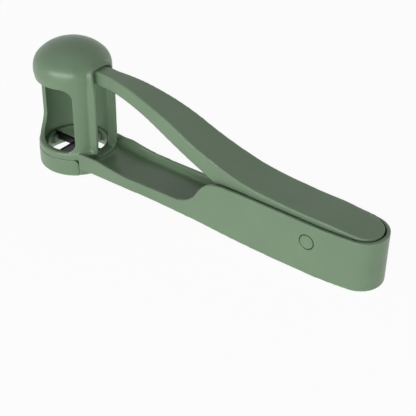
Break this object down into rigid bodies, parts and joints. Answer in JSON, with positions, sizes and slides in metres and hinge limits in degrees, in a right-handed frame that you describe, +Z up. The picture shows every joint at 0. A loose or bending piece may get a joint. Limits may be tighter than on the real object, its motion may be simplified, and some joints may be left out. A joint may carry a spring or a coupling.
{
  "type": "snack cutter",
  "caption": "Hand lever cutter for small fruit: a squeezed lever drives a slotted press head down a round cage and through crossed blades in a snap-in carrier.",
  "frame": {"origin": "middle of the tool's length and width, on the plane that its base ring and grip stand on", "axes": "+X from the cage back along the grip to its rear end, +Z up along the cage, +Y to the closed side of the cage"},
  "size_m": [0.202, 0.04, 0.0678],
  "materials": {
    "green_moulding": "fine satin moulding",
    "blade_steel": "ground stainless steel",
    "pin_steel": "turned stainless steel",
    "spring_steel": "drawn spring wire"
  },
  "bodies": {
    "frame": {"body": "green_moulding", "cutter_ring": "green_moulding", "long_blade": "blade_steel", "cross_blade": "blade_steel", "hinge_pin": "pin_steel", "near_pin_cap": "green_moulding", "far_pin_cap": "green_moulding", "return_spring": "spring_steel"},
    "lever": {"lever": "green_moulding", "press_head": "green_moulding", "press_pin": "pin_steel"}
  },
  "joints": [
    {"name": "lever_squeeze", "type": "hinge", "parent": "frame", "child": "lever", "pos_m": [0.06865, 0, 0.0171], "axis": [0, -1, 0], "range_deg": [0, 16], "stiffness_Nm_per_rad": 0.4, "springref_deg": -20.05, "deforming": ["return_spring"]}
  ]
}
